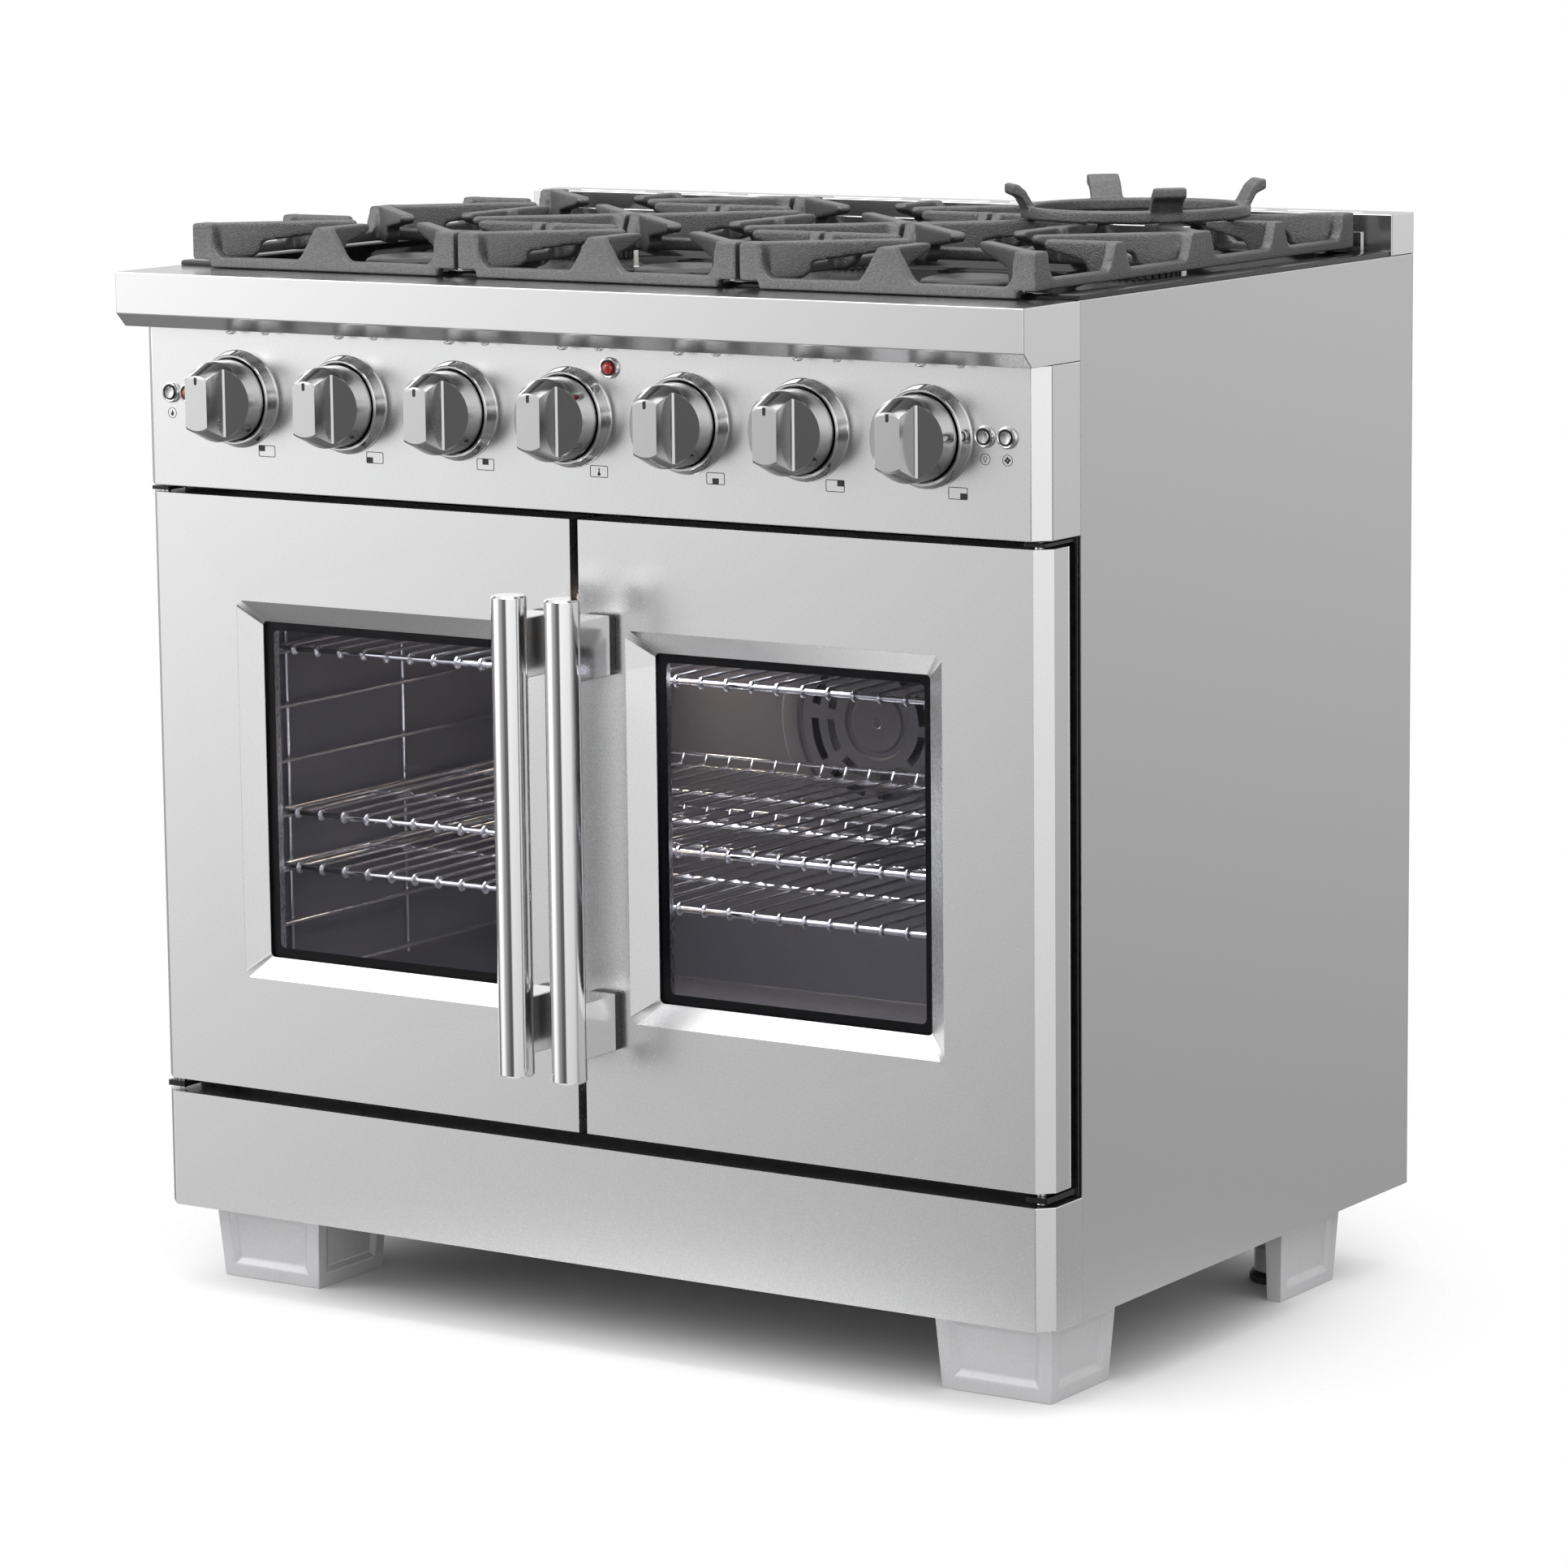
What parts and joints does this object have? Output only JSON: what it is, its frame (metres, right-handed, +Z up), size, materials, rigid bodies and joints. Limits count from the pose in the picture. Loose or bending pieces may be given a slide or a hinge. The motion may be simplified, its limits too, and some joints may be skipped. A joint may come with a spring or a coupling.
{
  "type": "freestanding gas range",
  "caption": "Freestanding stainless gas range with sealed burners under cast iron grates, a wok ring, a row of metal knobs and a French-door oven with windows.",
  "frame": {"origin": "on the floor under the middle of the range's overall box", "axes": "+X to the range's right as seen from the front, +Y towards the back, +Z up"},
  "size_m": [0.914, 0.702, 0.9743],
  "materials": {
    "brushed_steel": "vertical and horizontal brushed grain, satin",
    "polished_steel": "polished with a fine grain",
    "cast_iron": "matte sand-cast texture",
    "black_enamel": "gloss black porcelain",
    "galvanised_steel": "dull spangled grey",
    "foot_paint": "satin light grey",
    "oven_enamel": "semi-gloss dark grey-blue porcelain",
    "tinted_glass": "clear smoked glass",
    "chrome_wire": "bright chrome-plated wire",
    "lamp_lens": "translucent red lens"
  },
  "bodies": {
    "root": {"side_panel_left": "brushed_steel", "side_panel_right": "brushed_steel", "kick_panel": "brushed_steel", "control_panel": "brushed_steel", "front_rail": "brushed_steel", "backguard": "brushed_steel", "flue_vent_trim": "brushed_steel", "front_frame": "black_enamel", "cooktop_pan": "black_enamel", "burner_front_left": "black_enamel", "burner_rear_left": "black_enamel", "burner_front_center": "black_enamel", "burner_rear_center": "black_enamel", "burner_front_right": "black_enamel", "burner_rear_right": "black_enamel", "rear_panel": "galvanised_steel", "base_pan": "galvanised_steel", "gas_manifold": "galvanised_steel", "bake_burner": "galvanised_steel", "broil_burner": "galvanised_steel", "leg_rear_left": "galvanised_steel", "leg_rear_right": "galvanised_steel", "foot_front_left": "foot_paint", "foot_front_right": "foot_paint", "foot_rear_left": "foot_paint", "foot_rear_right": "foot_paint", "oven_liner": "oven_enamel", "fan_cover": "oven_enamel", "rack_guide_left": "chrome_wire", "rack_guide_right": "chrome_wire", "indicator_lamp_left": "lamp_lens", "indicator_lamp_oven": "lamp_lens"},
    "door_left": {"door_left_skin": "brushed_steel", "door_left_liner": "brushed_steel", "door_left_outer_glass": "tinted_glass", "door_left_inner_glass": "tinted_glass", "door_left_handle": "polished_steel"},
    "door_right": {"door_right_skin": "brushed_steel", "door_right_liner": "brushed_steel", "door_right_outer_glass": "tinted_glass", "door_right_inner_glass": "tinted_glass", "door_right_handle": "polished_steel"},
    "knob_rear_left": {"knob_rear_left": "polished_steel"},
    "knob_front_left": {"knob_front_left": "polished_steel"},
    "knob_rear_center": {"knob_rear_center": "polished_steel"},
    "knob_oven": {"knob_oven": "polished_steel"},
    "knob_front_center": {"knob_front_center": "polished_steel"},
    "knob_rear_right": {"knob_rear_right": "polished_steel"},
    "knob_front_right": {"knob_front_right": "polished_steel"},
    "button_ignition": {"button_ignition": "polished_steel"},
    "button_light": {"button_light": "polished_steel"},
    "button_fan": {"button_fan": "polished_steel"},
    "grate_left": {"grate_left": "cast_iron"},
    "grate_center": {"grate_center": "cast_iron"},
    "grate_right": {"grate_right": "cast_iron"},
    "wok_ring": {"wok_ring": "cast_iron"},
    "rack_top": {"rack_top": "chrome_wire"},
    "rack_middle": {"rack_middle": "chrome_wire"},
    "rack_bottom": {"rack_bottom": "chrome_wire"},
    "convection_fan": {"convection_fan": "galvanised_steel"}
  },
  "joints": [
    {"name": "door_left_hinge", "type": "hinge", "parent": "root", "child": "door_left", "pos_m": [-0.4435, -0.2675, 0.4495], "axis": [0, 0, -1], "range_deg": [0, 110]},
    {"name": "door_right_hinge", "type": "hinge", "parent": "root", "child": "door_right", "pos_m": [0.4435, -0.2675, 0.4495], "axis": [0, 0, 1], "range_deg": [0, 110]},
    {"name": "knob_rear_left_turn", "type": "hinge", "parent": "root", "child": "knob_rear_left", "pos_m": [-0.3483, -0.3095, 0.7965], "axis": [0, -1, 0], "range_deg": [0, 270]},
    {"name": "knob_front_left_turn", "type": "hinge", "parent": "root", "child": "knob_front_left", "pos_m": [-0.2322, -0.3095, 0.7965], "axis": [0, -1, 0], "range_deg": [0, 270]},
    {"name": "knob_rear_center_turn", "type": "hinge", "parent": "root", "child": "knob_rear_center", "pos_m": [-0.1161, -0.3095, 0.7965], "axis": [0, -1, 0], "range_deg": [0, 270]},
    {"name": "knob_oven_turn", "type": "hinge", "parent": "root", "child": "knob_oven", "pos_m": [0, -0.3095, 0.7965], "axis": [0, -1, 0], "range_deg": [0, 270]},
    {"name": "knob_front_center_turn", "type": "hinge", "parent": "root", "child": "knob_front_center", "pos_m": [0.1161, -0.3095, 0.7965], "axis": [0, -1, 0], "range_deg": [0, 270]},
    {"name": "knob_rear_right_turn", "type": "hinge", "parent": "root", "child": "knob_rear_right", "pos_m": [0.2322, -0.3095, 0.7965], "axis": [0, -1, 0], "range_deg": [0, 270]},
    {"name": "knob_front_right_turn", "type": "hinge", "parent": "root", "child": "knob_front_right", "pos_m": [0.3483, -0.3095, 0.7965], "axis": [0, -1, 0], "range_deg": [0, 270]},
    {"name": "button_ignition_press", "type": "slide", "parent": "root", "child": "button_ignition", "axis": [0, 1, 0], "range_m": [0, 0.003], "stiffness_N_per_m": 400},
    {"name": "button_light_press", "type": "slide", "parent": "root", "child": "button_light", "axis": [0, 1, 0], "range_m": [0, 0.003], "stiffness_N_per_m": 400},
    {"name": "button_fan_press", "type": "slide", "parent": "root", "child": "button_fan", "axis": [0, 1, 0], "range_m": [0, 0.003], "stiffness_N_per_m": 400},
    {"name": "grate_left_lift", "type": "slide", "parent": "root", "child": "grate_left", "axis": [0, 0, 1], "range_m": [0, 0.15]},
    {"name": "grate_center_lift", "type": "slide", "parent": "root", "child": "grate_center", "axis": [0, 0, 1], "range_m": [0, 0.15]},
    {"name": "grate_right_lift", "type": "slide", "parent": "root", "child": "grate_right", "axis": [0, 0, 1], "range_m": [0, 0.15]},
    {"name": "wok_ring_lift", "type": "slide", "parent": "grate_right", "child": "wok_ring", "axis": [0, 0, 1], "range_m": [0, 0.15]},
    {"name": "rack_top_slide", "type": "slide", "parent": "root", "child": "rack_top", "axis": [0, -1, 0], "range_m": [0, 0.03]},
    {"name": "rack_middle_slide", "type": "slide", "parent": "root", "child": "rack_middle", "axis": [0, -1, 0], "range_m": [0, 0.03]},
    {"name": "rack_bottom_slide", "type": "slide", "parent": "root", "child": "rack_bottom", "axis": [0, -1, 0], "range_m": [0, 0.03]},
    {"name": "convection_fan_spin", "type": "hinge", "parent": "root", "child": "convection_fan", "pos_m": [0, 0.2055, 0.477], "axis": [0, 1, 0], "continuous": true}
  ]
}
